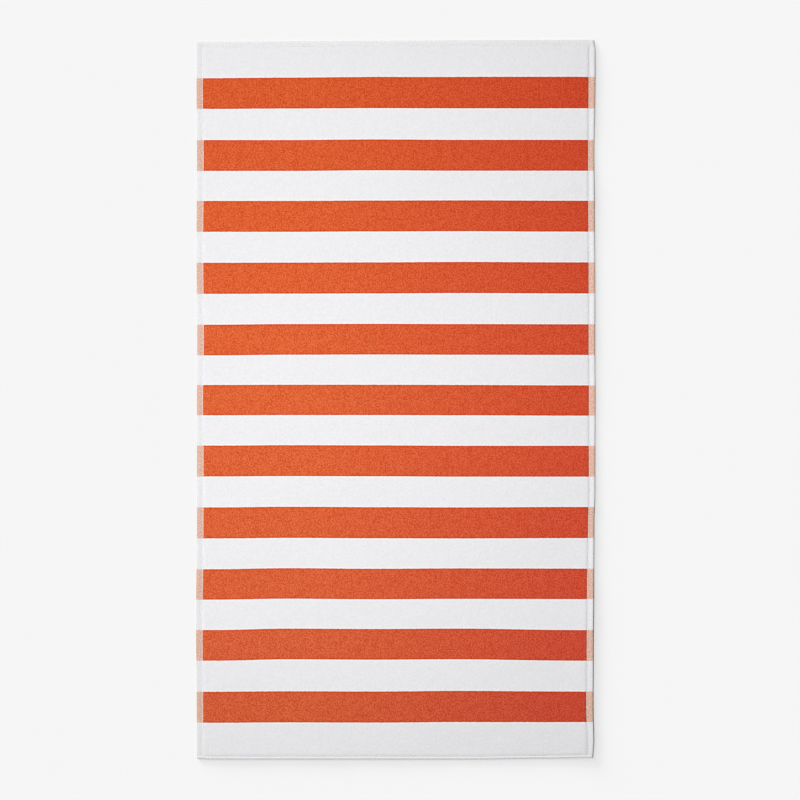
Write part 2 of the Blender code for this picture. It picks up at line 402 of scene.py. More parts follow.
    def ramp(self, share: Signal, shades: Shades) -> Signal:
        """Run through several shades as a share goes from 0 to 1.

        Args:
            share: The share.
            shades: The shades, and the share at which each stands.

        Returns:
            The colour.
        """
        node = self.node("ShaderNodeValToRGB", {"Fac": share})
        stops = node.color_ramp.elements
        for _ in shades[2:]:
            stops.new(0.5)
        for stop, (position, colour) in zip(stops, shades):
            stop.position = position
            stop.color = (*colour, 1.0)
        return Signal(self, node.outputs["Color"])

    def level(self, share: Signal, rows: Rows) -> Signal:
        """Return a grey that runs through a table's values as share goes from 0 to 1."""
        return self.ramp(share, tuple((place, (value,) * 3) for place, value in rows))


# ---------------------------------------------------------------- finishes

UNCHANGED: RGB = (1.0, 1.0, 1.0)  # times a colour, it leaves the colour as it is


@dataclass(frozen=True)
class Stripes:
    """The woven stripes, as a share of coloured yarn along the towel."""

    edge_softness: float = 0.0008  # over how far a stripe's edge goes from one yarn to the other
    edge_wander: float = 0.0012  # how unevenly that edge runs
    wander_grain: float = 0.0060  # how long its bulges are
    spread: float = 0.0003  # how far the coloured pile spreads over the white at each edge
    edge_line: float = 0.0048  # how far to each side the yarns look purer at such an edge

    def share(self, graph: Graph, vector: Signal, along: Signal) -> tuple[Signal, Signal]:
        """Find the stripes.

        Args:
            graph: The material's nodes.
            vector: The flat coordinates.
            along: Their second part.

        Returns:
            The share of coloured yarn, 1 in a stripe and 0 outside, and a signal that rises
            to 1 at the stripes' edges.
        """
        wandering = along + graph.noise(vector, self.wander_grain, detail=2.0) * self.edge_wander
        pitches = wandering / STRIPE_PITCH + STRIPED_RUN / (2.0 * STRIPE_PITCH)
        from_middle = abs((pitches + 0.25).fraction() - 0.5)  # of the nearest stripe, in pitches
        depth = ((0.25 + self.spread / STRIPE_PITCH) - from_middle) * STRIPE_PITCH  # in from its edge
        in_run = abs(along) < STRIPED_RUN / 2.0 + STRIPE_DEPTH / 4.0  # no stripe in the end bands
        inside = (depth / self.edge_softness + 0.5).held() * in_run
        return inside, (2.0 - abs(depth) * (2.0 / self.edge_line)).held() * in_run


@dataclass(frozen=True)
class PileFinish:
    """Short, even cotton pile, white with orange stripes, whose shade drifts a little over the towel."""

    stripes: Stripes = Stripes()
    white: RGB = (0.852, 0.850, 0.868)
    painted_shading: Rows = (  # painted light and shade on the white, lighter and darker from the towel's foot to its head
        (0.00, 0.986), (0.10, 1.008), (0.22, 1.012), (0.45, 0.994),
        (0.65, 0.990), (0.90, 1.008), (1.00, 1.000),
    )
    white_shade: RGB = (0.024, 0.024, 0.024)  # how far the white goes darker and lighter
    orange: Shades = (  # on the left, from the towel's foot to its head
        (0.07, (0.678, 0.104, 0.0335)), (0.16, (0.702, 0.112, 0.0350)),
        (0.50, (0.714, 0.117, 0.0298)), (0.93, (0.699, 0.099, 0.0210)),
    )
    orange_on_right: RGB = (0.910, 0.594, 0.838)  # the orange on the right, as a share of that
    orange_shade: RGB = (0.108, 0.42, 0.78)  # how far the orange goes deeper and paler
    white_at_edge: RGB = (1.04, 1.10, 1.10)  # the white next to a stripe, as a share of the rest
    orange_at_edge: RGB = (0.98, 0.63, 0.22)
    drift_start: float = -0.20  # where the left shade starts to give way to the right
    drift_run: float = 0.70
    tuft: float = 0.0016  # one tuft of the pile
    tuft_width: float = 1.1  # how wide a tuft is for its length
    streak_width: float = 3.0  # the same for the streaks that tufts form in a row
    tuft_middle: float = 0.45  # a place's usual distance from its tuft, in tufts
    loop: float = 0.0031  # a few tufts that stand together
    clump: float = 0.0066  # a patch of pile that leans one way
    patch: float = 0.0200  # a patch of slightly longer or shorter pile
    # columns: how much the clumps, loops, streaks, tufts and patches count
    white_mix: tuple[float, ...] = (1.0, 0.0, 0.5, 0.4, 0.4)
    orange_mix: tuple[float, ...] = (0.5, 1.0, 0.4, 0.35, 0.32)
    height_mix: tuple[float, ...] = (0.5, 0.0, 0.3, 0.8, 0.0)
    gain: float = 2.6  # how strongly the grain shows
    relief: float = 0.0007  # how deep the pile's surface is

    def material(self) -> Material:
        """Make the finish.

        Returns:
            The material.
        """
        graph = Graph("striped_cotton_pile", {
            "Roughness": 0.95, "Sheen Weight": 0.15, "Sheen Roughness": 0.6, "Specular IOR Level": 0.1,
        })
        vector, across, along = graph.place()
        grains = (
            graph.noise(vector, self.clump, detail=1.0),
            graph.noise(vector, self.loop, detail=0.0),
            graph.noise(vector, self.tuft, detail=1.0, stretch=self.streak_width),
            self.tuft_middle - graph.cells(vector, self.tuft, stretch=self.tuft_width),
            graph.noise(vector, self.patch, detail=2.0),
        )
        mixes = (self.white_mix, self.orange_mix)
        white_grain, orange_grain = ((self.mixed(grains, mix) * self.gain + 0.5).held() for mix in mixes)
        up_the_towel = along / LENGTH + 0.5
        drift = ((across - self.drift_start) / self.drift_run).held()
        # the white gets painted light and shade along the towel
        whites = graph.times(graph.level(up_the_towel, self.painted_shading), self.white)
        to_the_right = graph.blend(drift, UNCHANGED, self.orange_on_right)
        oranges = graph.times(to_the_right, graph.ramp(up_the_towel, self.orange))
        white = graph.shaded(whites, white_grain, self.white_shade)
        orange = graph.shaded(oranges, orange_grain, self.orange_shade)
        in_stripe, at_edge = self.stripes.share(graph, vector, along)
        plain = graph.blend(in_stripe, white, orange)
        purer = graph.blend(in_stripe, self.white_at_edge, self.orange_at_edge)
        colour = graph.times(plain, graph.blend(at_edge, UNCHANGED, purer))
        return graph.dressed(colour, self.mixed(grains, self.height_mix), self.relief)

    @staticmethod
    def mixed(grains: tuple[Signal, ...], mix: tuple[float, ...]) -> Signal:
        """Return the sum of the grains, each times what it counts."""
        first, *others = (grain * share for grain, share in zip(grains, mix) if share)
        return sum(others, start=first)


@dataclass(frozen=True)
class FlatWeaveFinish:
    """Plain-woven cotton of the hems: white warp, and a weft that is orange in the stripes."""

    stripes: Stripes = Stripes(edge_softness=0.0010, edge_wander=0.0008)
    warp: RGB = (0.880, 0.875, 0.888)
    white_weft: RGB = (0.880, 0.880, 0.899)
    orange_weft: RGB = (0.736, 0.227, 0.030)
    painted_shading: Rows = (  # painted shade on both folds and the left hem, painted light on the right hem, from the left fold to the right one
        (0.0005, 0.930), (0.0030, 0.972), (0.0180, 0.972), (0.0220, 1.000),
        (0.9780, 1.000), (0.9820, 1.027), (0.9970, 1.027), (0.9995, 0.930),
    )
    weft_share: float = 0.57  # how much of the face is weft
    weft_at_pile: float = 0.27  # how much less of it there is where the pile starts
    pile_reach: float = 0.0026  # how far that reaches to each side
    thread_contrast: float = 0.35  # how clearly single threads show
    thread: float = 0.00085  # from one thread to the next
    unevenness: float = 0.0005  # how far threads stray sideways
    stray_grain: float = 0.0030  # how long such a stray is
    slub: float = 0.0034  # a place where the yarns are thicker or thinner
    white_slub: RGB = (0.09, 0.09, 0.09)  # how far such places go darker and lighter
    orange_slub: RGB = (0.24, 0.24, 0.24)
    pucker: float = 0.0060  # a place where the hem is gathered a little
    pucker_height: float = 1.5  # for a thread of 1
    relief: float = 0.0002

    def material(self) -> Material:
        """Make the finish.

        Returns:
            The material.
        """
        graph = Graph("flat_woven_hem", {
            "Roughness": 0.85, "Sheen Weight": 0.10, "Sheen Roughness": 0.5, "Specular IOR Level": 0.15,
        })
        vector, across, along = graph.place()
        stray = graph.noise(vector, self.stray_grain, detail=2.0) * self.unevenness
        turns = math.pi / self.thread
        over = ((across + stray) * turns).sine() * ((along - stray) * turns).sine()
        from_pile = abs((WIDTH / 2.0 - SIDE_HEM.pile_foot) - abs(across))
        at_pile = 1.0 - from_pile / self.pile_reach
        share = self.weft_share - at_pile.held() * self.weft_at_pile
        weft_on_top = (over * self.thread_contrast + share).held()
        in_stripe, _ = self.stripes.share(graph, vector, along)
        slubs = (graph.noise(vector, self.slub, detail=1.0) * 2.0 + 0.5).held()
        white, orange = (
            graph.shaded(graph.blend(weft_on_top, self.warp, weft), slubs, slub)
            for weft, slub in ((self.white_weft, self.white_slub), (self.orange_weft, self.orange_slub))
        )
        yarns = graph.blend(in_stripe, white, orange)
        # painted shade darkens the folds and the left hem, painted light brightens the right hem
        colour = graph.times(yarns, graph.level(across / WIDTH + 0.5, self.painted_shading))
        height = abs(over) + graph.noise(vector, self.pucker, detail=2.0) * self.pucker_height
        return graph.dressed(colour, height, self.relief)


@dataclass(frozen=True)
class ThreadFinish:
    """White sewing thread, twisted from finer yarns."""

    # painted shade: the thread's colour down in the twist's grooves, darker than on its ridges
    painted_groove_shade: RGB = (0.78, 0.78, 0.79)
    colour_high: RGB = (0.90, 0.90, 0.91)
    twist: float = 0.0007  # length of one turn of the twist
    relief: float = 0.00005

    def material(self) -> Material:
        """Make the finish.

        Returns:
            The material.
        """
        constants = {"Roughness": 0.6, "Sheen Weight": 0.1, "Specular IOR Level": 0.3}
        graph = Graph("white_sewing_thread", constants)
        _, lengthwise, around = graph.place()
        ridges = ((lengthwise + around) * (2.0 * math.pi / self.twist)).sine() * 0.5 + 0.5
        # the colour darkens with the bumps into the twist's grooves: painted shade
        return graph.dressed(graph.blend(ridges, self.painted_groove_shade, self.colour_high), ridges, self.relief)


@dataclass(frozen=True)
class PlainFinish:
    """A plain matt surface, for the floor and the backdrop."""

    name: str
    colour: RGB
    glow: float = 0.0

    def material(self) -> Material:
        """Make the finish.

        Returns:
            The material.
        """
        constants = {
            "Base Color": (*self.colour, 1.0),
            "Roughness": 1.0,
            "Specular IOR Level": 0.0,
            "Emission Color": (1.0, 1.0, 1.0, 1.0),
            "Emission Strength": self.glow,
        }
        return Graph(self.name, constants).material


# ---------------------------------------------------------------- how the cloth lies


def eased(rows: Rows, places: Array) -> Array:
    """Read a table between its rows, easing from each row to the next.

    Args:
        rows: The table, as pairs of a place and a value.
        places: Where it is read.

    Returns:
        The value at each place.
    """
    stations, values = np.array(rows).T
    index = np.clip(np.searchsorted(stations, places, side="right") - 1, 0, len(stations) - 2)
    share = np.clip((places - stations[index]) / (stations[index + 1] - stations[index]), 0.0, 1.0)
    return values[index] + (values[index + 1] - values[index]) * (1.0 - np.cos(np.pi * share)) / 2.0


def column(rows: tuple[tuple[float, ...], ...], number: int) -> Rows:
    """Return a table's first column beside one of its others."""
    return tuple((row[0], row[number]) for row in rows)


@dataclass(frozen=True)
class Waves:
    """Gentle unevenness: a sum of straight waves that run in many directions."""

    seed: int
    count: int
    shortest: float  # shortest wavelength, in metres
    longest: float
    height: float  # how high each wave stands, at the longest wavelength

    def at(self, across: Array, along: Array) -> Array:
        """Return the height of the waves.

        Args:
            across: Where it is read, across the towel.
            along: Where it is read, along the towel.

        Returns:
            The height at each place.
        """
        draw = np.random.default_rng(self.seed)
        lengths = self.shortest * (self.longest / self.shortest) ** draw.random(self.count)
        directions = draw.random(self.count) * math.pi
        phases = draw.random(self.count) * 2.0 * math.pi
        total = np.zeros(np.broadcast(across, along).shape)
        for length, direction, phase in zip(lengths, directions, phases):
            run = across * math.cos(direction) + along * math.sin(direction)
            total += self.height * (length / self.longest) * np.sin(2.0 * math.pi * run / length + phase)
        return total


@dataclass
class Cloth:
    """The flat cloth's own form, and where each place of it lies."""

    swells: Waves = Waves(seed=3, count=9, shortest=0.12, longest=0.45, height=0.00018)
    ripples: Waves = Waves(seed=8, count=14, shortest=0.024, longest=0.070, height=0.00004)
    hem_waves: Waves = Waves(seed=21, count=8, shortest=0.030, longest=0.160, height=0.00012)
    hem_wave_reach: Rows = ((0.010, 1.0), (0.026, 0.0))  # columns: distance in from the edge, share
    outline_step: float = 0.0025  # how closely the outline is followed to find its middle
    shift: Array = field(default_factory=lambda: np.zeros(2))

    def __post_init__(self) -> None:
        """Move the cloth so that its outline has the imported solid's middle."""
        across, along = (
            np.linspace(-size / 2.0, size / 2.0, round(size / self.outline_step) + 1)
            for size in (WIDTH, LENGTH)
        )
        sides = [self.lay(np.full_like(along, side.value * WIDTH / 2.0), along) for side in Side]
        ends = [self.lay(across, np.full_like(across, end.value * LENGTH / 2.0)) for end in End]
        outline = np.concatenate(sides + ends)
        low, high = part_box(NODE)
        solid_middle = np.array([(low[axis] + high[axis]) / 2.0 for axis in range(2)])
        self.shift = solid_middle - (outline.min(0) + outline.max(0)) / 2.0

    def slip(self, across: Array, along: Array) -> Array:
        """Return how far the weave has slipped along the towel at each place.

        Args:
            across: The places, across the towel.
            along: The places, along the towel.

        Returns:
            The slip, towards the head.
        """
        total = np.zeros(np.broadcast(across, along).shape)
        for number, near in enumerate(np.eye(len(SLIP_PLACES))):
            rows = [(-LENGTH / 2.0, 0.0)]
            for stripe, (*slips, deeper) in enumerate(reversed(STRIPE_SLIP)):
                foot_edge = stripe * STRIPE_PITCH - STRIPED_RUN / 2.0
                rows.append((foot_edge, slips[number] - deeper / 2.0))
                rows.append((foot_edge + STRIPE_DEPTH, slips[number] + deeper / 2.0))
            rows.append((LENGTH / 2.0, 0.0))
            total += eased(tuple(zip(SLIP_PLACES, near)), across) * eased(tuple(rows), along)
        return total

    @staticmethod
    def wider_hems(across: Array, along: Array) -> Array:
        """Return how far towards +X a wider or narrower side hem moves each place."""
        share = eased(HEM_DRAW, WIDTH / 2.0 - np.abs(across))
        return np.where(across < 0.0, eased(LEFT_WIDER, along), -eased(RIGHT_WIDER, along)) * share

    def lay(self, across: Array, along: Array) -> Array:
        """Find where places of the flat cloth lie, seen from above.

        Args:
            across: The places, across the towel.
            along: The places, along the towel.

        Returns:
            Their X and Y, as the last axis.
        """
        inside_side = np.maximum(CORNER_RADIUS - (WIDTH / 2.0 - np.abs(across)), 0.0)
        inside_end = np.maximum(CORNER_RADIUS - (LENGTH / 2.0 - np.abs(along)), 0.0)
        reach = np.hypot(inside_side, inside_end)
        both = (inside_side > 0.0) & (inside_end > 0.0)
        kept = np.where(both, np.maximum(inside_side, inside_end) / np.where(both, reach, 1.0), 1.0)
        round_across = across - np.sign(across) * inside_side * (1.0 - kept)
        round_along = along - np.sign(along) * inside_end * (1.0 - kept)
        to_right = round_across / WIDTH + 0.5
        stray_x = eased(RIGHT_STRAY, along) * to_right - eased(LEFT_STRAY, along) * (1.0 - to_right)
        to_foot, to_head = (eased(END_REACH, end.value * round_along) for end in End)
        stray_y = eased(TOP_STRAY, across) * to_head - eased(BOTTOM_STRAY, across) * to_foot
        x = round_across + stray_x + self.wider_hems(across, along)
        y = round_along + stray_y + self.slip(across, along)
        return np.stack([x, y], axis=-1) + self.shift

    def height(self, across: Array, along: Array) -> Array:
        """Find how high the top face lies.

        Args:
            across: The places, across the towel.
            along: The places, along the towel.

        Returns:
            The height at each place.
        """
        from_side = WIDTH / 2.0 - np.abs(across)
        from_end = LENGTH / 2.0 - np.abs(along)
        from_right = WIDTH / 2.0 - across
        uneven = self.hem_waves.at(across, along)
        uneven *= eased(self.hem_wave_reach, np.minimum(from_side, from_end))
        most = (eased(column(RIGHT_FULLNESS, number), along) for number in (1, 2, 3))
        *shares, shallower = (eased(column(RIGHT_SHAPE, number), from_right) for number in (1, 2, 3, 4))
        rise, lift, droop = (value * share for value, share in zip(most, shares))
        rise = rise - droop
        plain = eased(SIDE_HEM.section, from_side) + rise + shallower
        layered = eased(CORNER_TURN, from_side) + rise
        ends = []
        for hem in (FOOT_HEM, HEAD_HEM):
            turned = eased(((hem.stitches - CORNER_FOLD, 1.0), (hem.stitches, 0.0)), from_end)
            side = plain * (1.0 - turned) + layered * turned
            ends.append(np.minimum(side, eased(hem.section, from_end) + rise))
        hems = np.where(along < 0.0, *ends) + lift
        return hems + self.swells.at(across, along) + self.ripples.at(across, along) + uneven


# ---------------------------------------------------------------- meshes


def placed(name: str, data: bpy.types.ID) -> Object:
    """Put a mesh, a lamp or a camera into the scene.

    Args:
        name: The name of its object.
        data: The mesh, lamp or camera.

    Returns:
        The object.
    """
    thing = bpy.data.objects.new(name, data)
    bpy.context.scene.collection.objects.link(thing)
    return thing


@dataclass
class Surface:
    """Points and faces of one piece, with its two UV maps, before they become a mesh."""

    points: Array
    faces: Faces
    place: Array  # flat coordinates of every face corner, face after face
    bake: Array  # its place in the unwrapped square
    slots: Array | None = None  # the material slot of every face

    def piece(self, name: str, materials: list[Material]) -> Object:
        """Make the piece and let it ride on the towel's body.

        Args:
            name: The piece's name.
            materials: Its materials, in the order of its slots.

        Returns:
            The piece.
        """
        mesh = bpy.data.meshes.new(name)
        mesh.from_pydata(self.points.tolist(), [], self.faces)
        for map_name, corners in ((PLACE_MAP, self.place), (BAKE_MAP, self.bake)):
            layer = mesh.uv_layers.new(name=map_name)
            layer.data.foreach_set("uv", corners.astype(np.float32).ravel())
        for material in materials:
            mesh.materials.append(material)
        if self.slots is not None:
            mesh.polygons.foreach_set("material_index", self.slots.astype(np.int32))
        mesh.shade_smooth()
        mesh.update()
        piece = placed(name, mesh)
        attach(piece, BODY)
        LOG.info("%s: %d points, %d faces", name, len(mesh.vertices), len(mesh.polygons))
        return piece


@dataclass
class Grid:
    """Points in rows over the flat cloth, numbered row after row from the foot's left corner."""

    across: Array
    along: Array

    @classmethod
    def over_cloth(cls, sides: tuple[Hemlines, ...], ends: tuple[Hemlines, ...], cell: float) -> Grid:
        """Set out a grid over the whole cloth.

        Args:
            sides: The lines along the left and the right side, in from the edge.
            ends: The lines along the foot and the head, in from the edge.
            cell: About how far apart the lines over the open field stand.

        Returns:
            The grid.
        """
        directions = []
        for size, (first, last) in ((WIDTH, sides), (LENGTH, ends)):
            low, high = np.array(first) - size / 2.0, size / 2.0 - np.array(last)[::-1]
            cells = round((high[0] - low[-1]) / cell)
            between = np.linspace(low[-1], high[0], cells + 1)[1:-1]
            directions.append(np.concatenate([low, between, high]))
        return cls(*directions)

    def places(self) -> Array:
        """Return the flat coordinates of its points."""
        return np.stack(np.meshgrid(self.across, self.along), -1).reshape(-1, 2)

    def numbers(self, first: int) -> Array:
        """Return the numbers of its points, row by row, when its first point has this number."""
        return first + np.arange(len(self.across) * len(self.along)).reshape(len(self.along), -1)

    def border(self, first: int) -> list[list[int]]:
        """Go round its border, anticlockwise from its first corner.

        Args:
            first: The number of its first point.

        Returns:
            The numbers of the points of each side, but for the side's last corner.
        """
        numbers = self.numbers(first)
        sides = (numbers[0, :-1], numbers[:-1, -1], numbers[-1, :0:-1], numbers[:0:-1, 0])
        return [side.tolist() for side in sides]

    def quads(self, first: int) -> Array:
        """Fill the cells between its points.

        Args:
            first: The number of its first point.

        Returns:
            The faces, which look up.
        """
        numbers = self.numbers(first)
        corners = (numbers[:-1, :-1], numbers[:-1, 1:], numbers[1:, 1:], numbers[1:, :-1])
        return np.stack(corners, -1).reshape(-1, 4)


def zipped(outer: list[int], inner: list[int]) -> Faces:
    """Fill the strip between two rows of points that run side by side, at their own spacings.

    Args:
        outer: The points of the outer row.
        inner: The points of the inner row.

    Returns:
        The triangles.
    """
    faces = []
    i, j = 0, 0
    while i < len(inner) - 1 or j < len(outer) - 1:
        inner_next = (i + 0.5) / (len(inner) - 1)
        outer_next = (j + 0.5) / (len(outer) - 1)
        if j < len(outer) - 1 and (outer_next <= inner_next or i == len(inner) - 1):
            faces.append([inner[i], outer[j + 1], outer[j]])
            j += 1
        else:
            faces.append([inner[i], inner[i + 1], outer[j]])
            i += 1
    return faces


@dataclass
class TowelSheet:
    """The whole towel as one closed sheet: the pile face, the rounded rim and the underside."""

    cloth: Cloth
    field_cell: float = 0.0051  # face size over the open field
    under_cell: float = 0.0165  # face size over the underside
    under_border: float = 0.012  # where those faces start, in from the edge
    rim_rings: int = 5  # rings of points from the top face's border to the underside
    bake_margin: float = 0.004  # clear space around each island, in shares of the square
    bake_rim: float = 0.008  # room for the unrolled rim around the pile face

    def build(self, pile: Material, flat_weave: Material) -> Object:
        """Build the sheet and dress it.

        Args:
            pile: The finish of the pile.
            flat_weave: The finish of the hems.

        Returns:
            The towel.
        """
        top = Grid.over_cloth((SIDE_HEM.lines,) * 2, (FOOT_HEM.lines, HEAD_HEM.lines), self.field_cell)
        border = ((self.under_border,),) * 2
        under = Grid.over_cloth(border, border, self.under_cell)
        top_flat, under_flat = top.places(), under.places()
        top_height = self.cloth.height(*top_flat.T)
        top_border = top.border(0)
        edge = np.concatenate(top_border)
        rim_flat, rim_unrolled, rim_height = self._rim(top_flat[edge], top_height[edge])
        flat = np.concatenate([top_flat, rim_flat, under_flat])
        unrolled = np.concatenate([top_flat, rim_unrolled, under_flat])
        heights = np.concatenate([top_height, rim_height, np.zeros(len(under_flat))])

        first_under = len(top_flat) + len(rim_flat)
        rings = [edge, *np.arange(len(top_flat), first_under).reshape(self.rim_rings, -1)]
        quads = [top.quads(0)]
        for upper, lower in zip(rings, rings[1:]):
            quads.append(np.column_stack([lower, np.roll(lower, -1), np.roll(upper, -1), upper]))
        faces = np.concatenate(quads).tolist()
        front_corners = 4 * len(faces)
        lowest = iter(rings[-1].tolist())
        rim_sides = [[next(lowest) for _ in side] for side in top_border]
        under_sides = under.border(first_under)
        for k in range(4):
            outer, inner = (sides[k] + sides[(k + 1) % 4][:1] for sides in (rim_sides, under_sides))
            faces += zipped(outer, inner)
        faces += under.quads(first_under)[:, ::-1].tolist()

        corners = np.concatenate(faces)
        front, back = corners[:front_corners], corners[front_corners:]
        place = np.concatenate([unrolled[front], flat[back]])
        bake = np.concatenate([self._front_island(unrolled[front]), self._under_island(flat[back])])
        points = np.column_stack([self.cloth.lay(*flat.T), heights])
        slots = self._slots(np.array([flat[face].mean(0) for face in faces]))
        return Surface(points, faces, place, bake, slots).piece(NODE + "_cloth", [pile, flat_weave])

    def _rim(self, edge: Array, height: Array) -> tuple[Array, Array, Array]:
        """Round the rim off, from the border of the pile face down to the underside.

        Args:
            edge: The border's flat coordinates.
            height: How high each of its points lies.

        Returns:
            The rings' flat coordinates, the same unrolled, and their heights, from the top down.
        """
        on_edge = np.isclose(np.abs(edge), np.array([WIDTH, LENGTH]) / 2.0 - RIM)
        outwards = np.sign(edge) * on_edge
        length = math.pi * (RIM + height / 2.0) / 2.0
        flat, unrolled, heights = [], [], []
        for ring in range(1, self.rim_rings + 1):
            angle = math.pi * (0.5 - ring / self.rim_rings)
            flat.append(edge + outwards * RIM * math.cos(angle))
            unrolled.append(edge + outwards * (length * ring / self.rim_rings)[:, None])
            heights.append(height * (1.0 + math.sin(angle)) / 2.0)
        return np.concatenate(flat), np.concatenate(unrolled), np.concatenate(heights)

    @staticmethod
    def _slots(middles: Array) -> Array:
        """Choose between the finishes of the pile and the hems.

        Args:
            middles: The flat coordinates of each face's middle.

        Returns:
            The material slot of each face.
        """
        across, along = middles.T
        in_hem = np.abs(across) > WIDTH / 2.0 - SIDE_HEM.pile_foot
        in_hem |= along < FOOT_HEM.pile_foot - LENGTH / 2.0
        in_hem |= along > LENGTH / 2.0 - HEAD_HEM.pile_foot
        return np.where(in_hem, Slot.FLAT_WEAVE.value, Slot.PILE.value)

    def _front_island(self, places: Array) -> Array:
        """Lay the pile face and the rim in the lower part of the bake square.

        Args:
            places: The unrolled coordinates of every face corner.

        Returns:
            Its place in the square.
        """
        reach = np.array([WIDTH, LENGTH]) / 2.0 + self.bake_rim
        scale = (1.0 - 2.0 * self.bake_margin) / (2.0 * reach[1])
        turned = np.column_stack([places[:, 1] + reach[1], reach[0] - places[:, 0]])
        return turned * scale + self.bake_margin

    def _under_island(self, places: Array) -> Array:
        """Lay the underside in the upper part of the bake square.

        Args:
            places: The flat coordinates of every face corner.

        Returns:
            Its place in the square.
        """
        front_top = (WIDTH + 2.0 * self.bake_rim) / (LENGTH + 2.0 * self.bake_rim) + self.bake_margin
        scale = (1.0 - front_top - 2.0 * self.bake_margin) / WIDTH
        start = np.array([self.bake_margin, front_top + self.bake_margin])
        return (places[:, ::-1] + np.array([LENGTH, WIDTH]) / 2.0) * scale + start


@dataclass(frozen=True)
class SmallForm:
    """One small round form, such as a stitch or a tuft, set up along its own first axis."""

    rings: tuple[Triple, ...]  # columns: place along the axis, radius, lift
    sides: int

    def mesh(self) -> tuple[Array, Faces, Array]:
        """Set the form out.

        Returns:
            Its points, its faces, and the unrolled place of every face corner, from 0 to 1.
        """
        turns = np.arange(self.sides) * 2.0 * math.pi / self.sides
        points = [
            (place, radius * math.cos(turn), radius * math.sin(turn) + lift)
            for place, radius, lift in self.rings
            for turn in turns
        ]
        faces, unrolled = [], []
        bands = len(self.rings)  # one between two rings each, and half a one for each cap
        for ring in range(bands - 1):
            for side in range(self.sides):
                following = (side + 1) % self.sides
                low, high = ring * self.sides, (ring + 1) * self.sides
                faces.append([low + side, low + following, high + following, high + side])
                u, next_u = side / self.sides, (side + 1) / self.sides
                v, next_v = (ring + 0.5) / bands, (ring + 1.5) / bands
                unrolled += [(u, v), (next_u, v), (next_u, next_v), (u, next_v)]
        faces.append(list(range(self.sides - 1, -1, -1)))
        faces.append(list(range(len(points) - self.sides, len(points))))
        size = 0.2 / bands  # of a cap's unrolled disc, in the half a band that it has
        for middle in (0.25 / bands, 1.0 - 0.25 / bands):
            unrolled += [(0.5 + size * math.cos(turn), middle + size * math.sin(turn)) for turn in turns]
        return np.array(points), faces, np.array(unrolled)

    def repeated(self, spots: Array, axes: Array, starts: Array, span: tuple[float, float]) -> Surface:
        """Join many copies of the form.

        Args:
            spots: Where each copy's own origin goes.
            axes: Each copy's three axes, as rows.
            starts: Each copy's place in the flat coordinates.
            span: How far its unrolled surface reaches there, in metres.

        Returns:
            The copies as one surface.
        """
        points, faces, unrolled = self.mesh()
        count = len(spots)
        copies = spots[:, None, :] + np.einsum("pk,nkd->npd", points, axes)
        starting = range(0, count * len(points), len(points))
        all_faces = [[first + point for point in face] for first in starting for face in faces]
        place = starts[:, None, :] + unrolled[None] * np.array(span)
        per_row = math.ceil(math.sqrt(count))
        cells = np.column_stack(np.divmod(np.arange(count), per_row))[:, ::-1]
        clear = 0.06  # space around each copy's island, as a share of its cell
        bake = (cells[:, None, :] + clear + (1.0 - 2.0 * clear) * unrolled[None]) / per_row
        return Surface(copies.reshape(-1, 3), all_faces, place.reshape(-1, 2), bake.reshape(-1, 2))


# ---------------------------------------------------------------- seams


@dataclass(frozen=True)
class Seam:
    """A line along one hem, on which stitches or tufts are set."""

    edge: Side | End
    inset: float  # how far in from the edge it runs
    margins: tuple[float, float]  # how far from the first and the last corner it stops
    look_ahead: float = 0.0005  # over how far its direction is taken

    def spots(self, cloth: Cloth, pitch: float) -> tuple[Array, Array, Array]:
        """Set out spots along the seam.

        Args:
            cloth: The cloth that the seam runs on.
            pitch: How far apart the spots are.

        Returns:
            The spots' flat coordinates, where they lie, and their axes as rows: along the
            seam, out over the edge, and up.
        """
        on_side = isinstance(self.edge, Side)
        half, own_half = (LENGTH / 2.0, WIDTH / 2.0) if on_side else (WIDTH / 2.0, LENGTH / 2.0)
        start, stop = self.margins[0] - half, half - self.margins[1]
        places = np.linspace(start, stop, round((stop - start) / pitch) + 1)
        across_seam = np.full_like(places, self.edge.value * (own_half - self.inset))
        flat = np.column_stack([across_seam, places] if on_side else [places, across_seam])
        step = np.array([0.0, self.look_ahead] if on_side else [self.look_ahead, 0.0])
        ground = cloth.lay(*flat.T)
        ahead = cloth.lay(*(flat + step).T) - ground
        forward = np.column_stack([ahead, np.zeros(len(ahead))])
        forward /= np.linalg.norm(forward, axis=1)[:, None]
        up = np.tile([0.0, 0.0, 1.0], (len(places), 1))
        outward = np.cross(forward, up)
        outward *= np.sign((outward[:, 0] if on_side else outward[:, 1]) * self.edge.value)[:, None]
        points = np.column_stack([ground, cloth.height(*flat.T)])
        return flat, points, np.stack([forward, outward, up], axis=1)


def scattered(draw: np.random.Generator, count: int, width: float) -> Array:
    """Draw a column of values spread evenly around 0, over this width in all."""
    return (draw.random(count) - 0.5)[:, None] * width


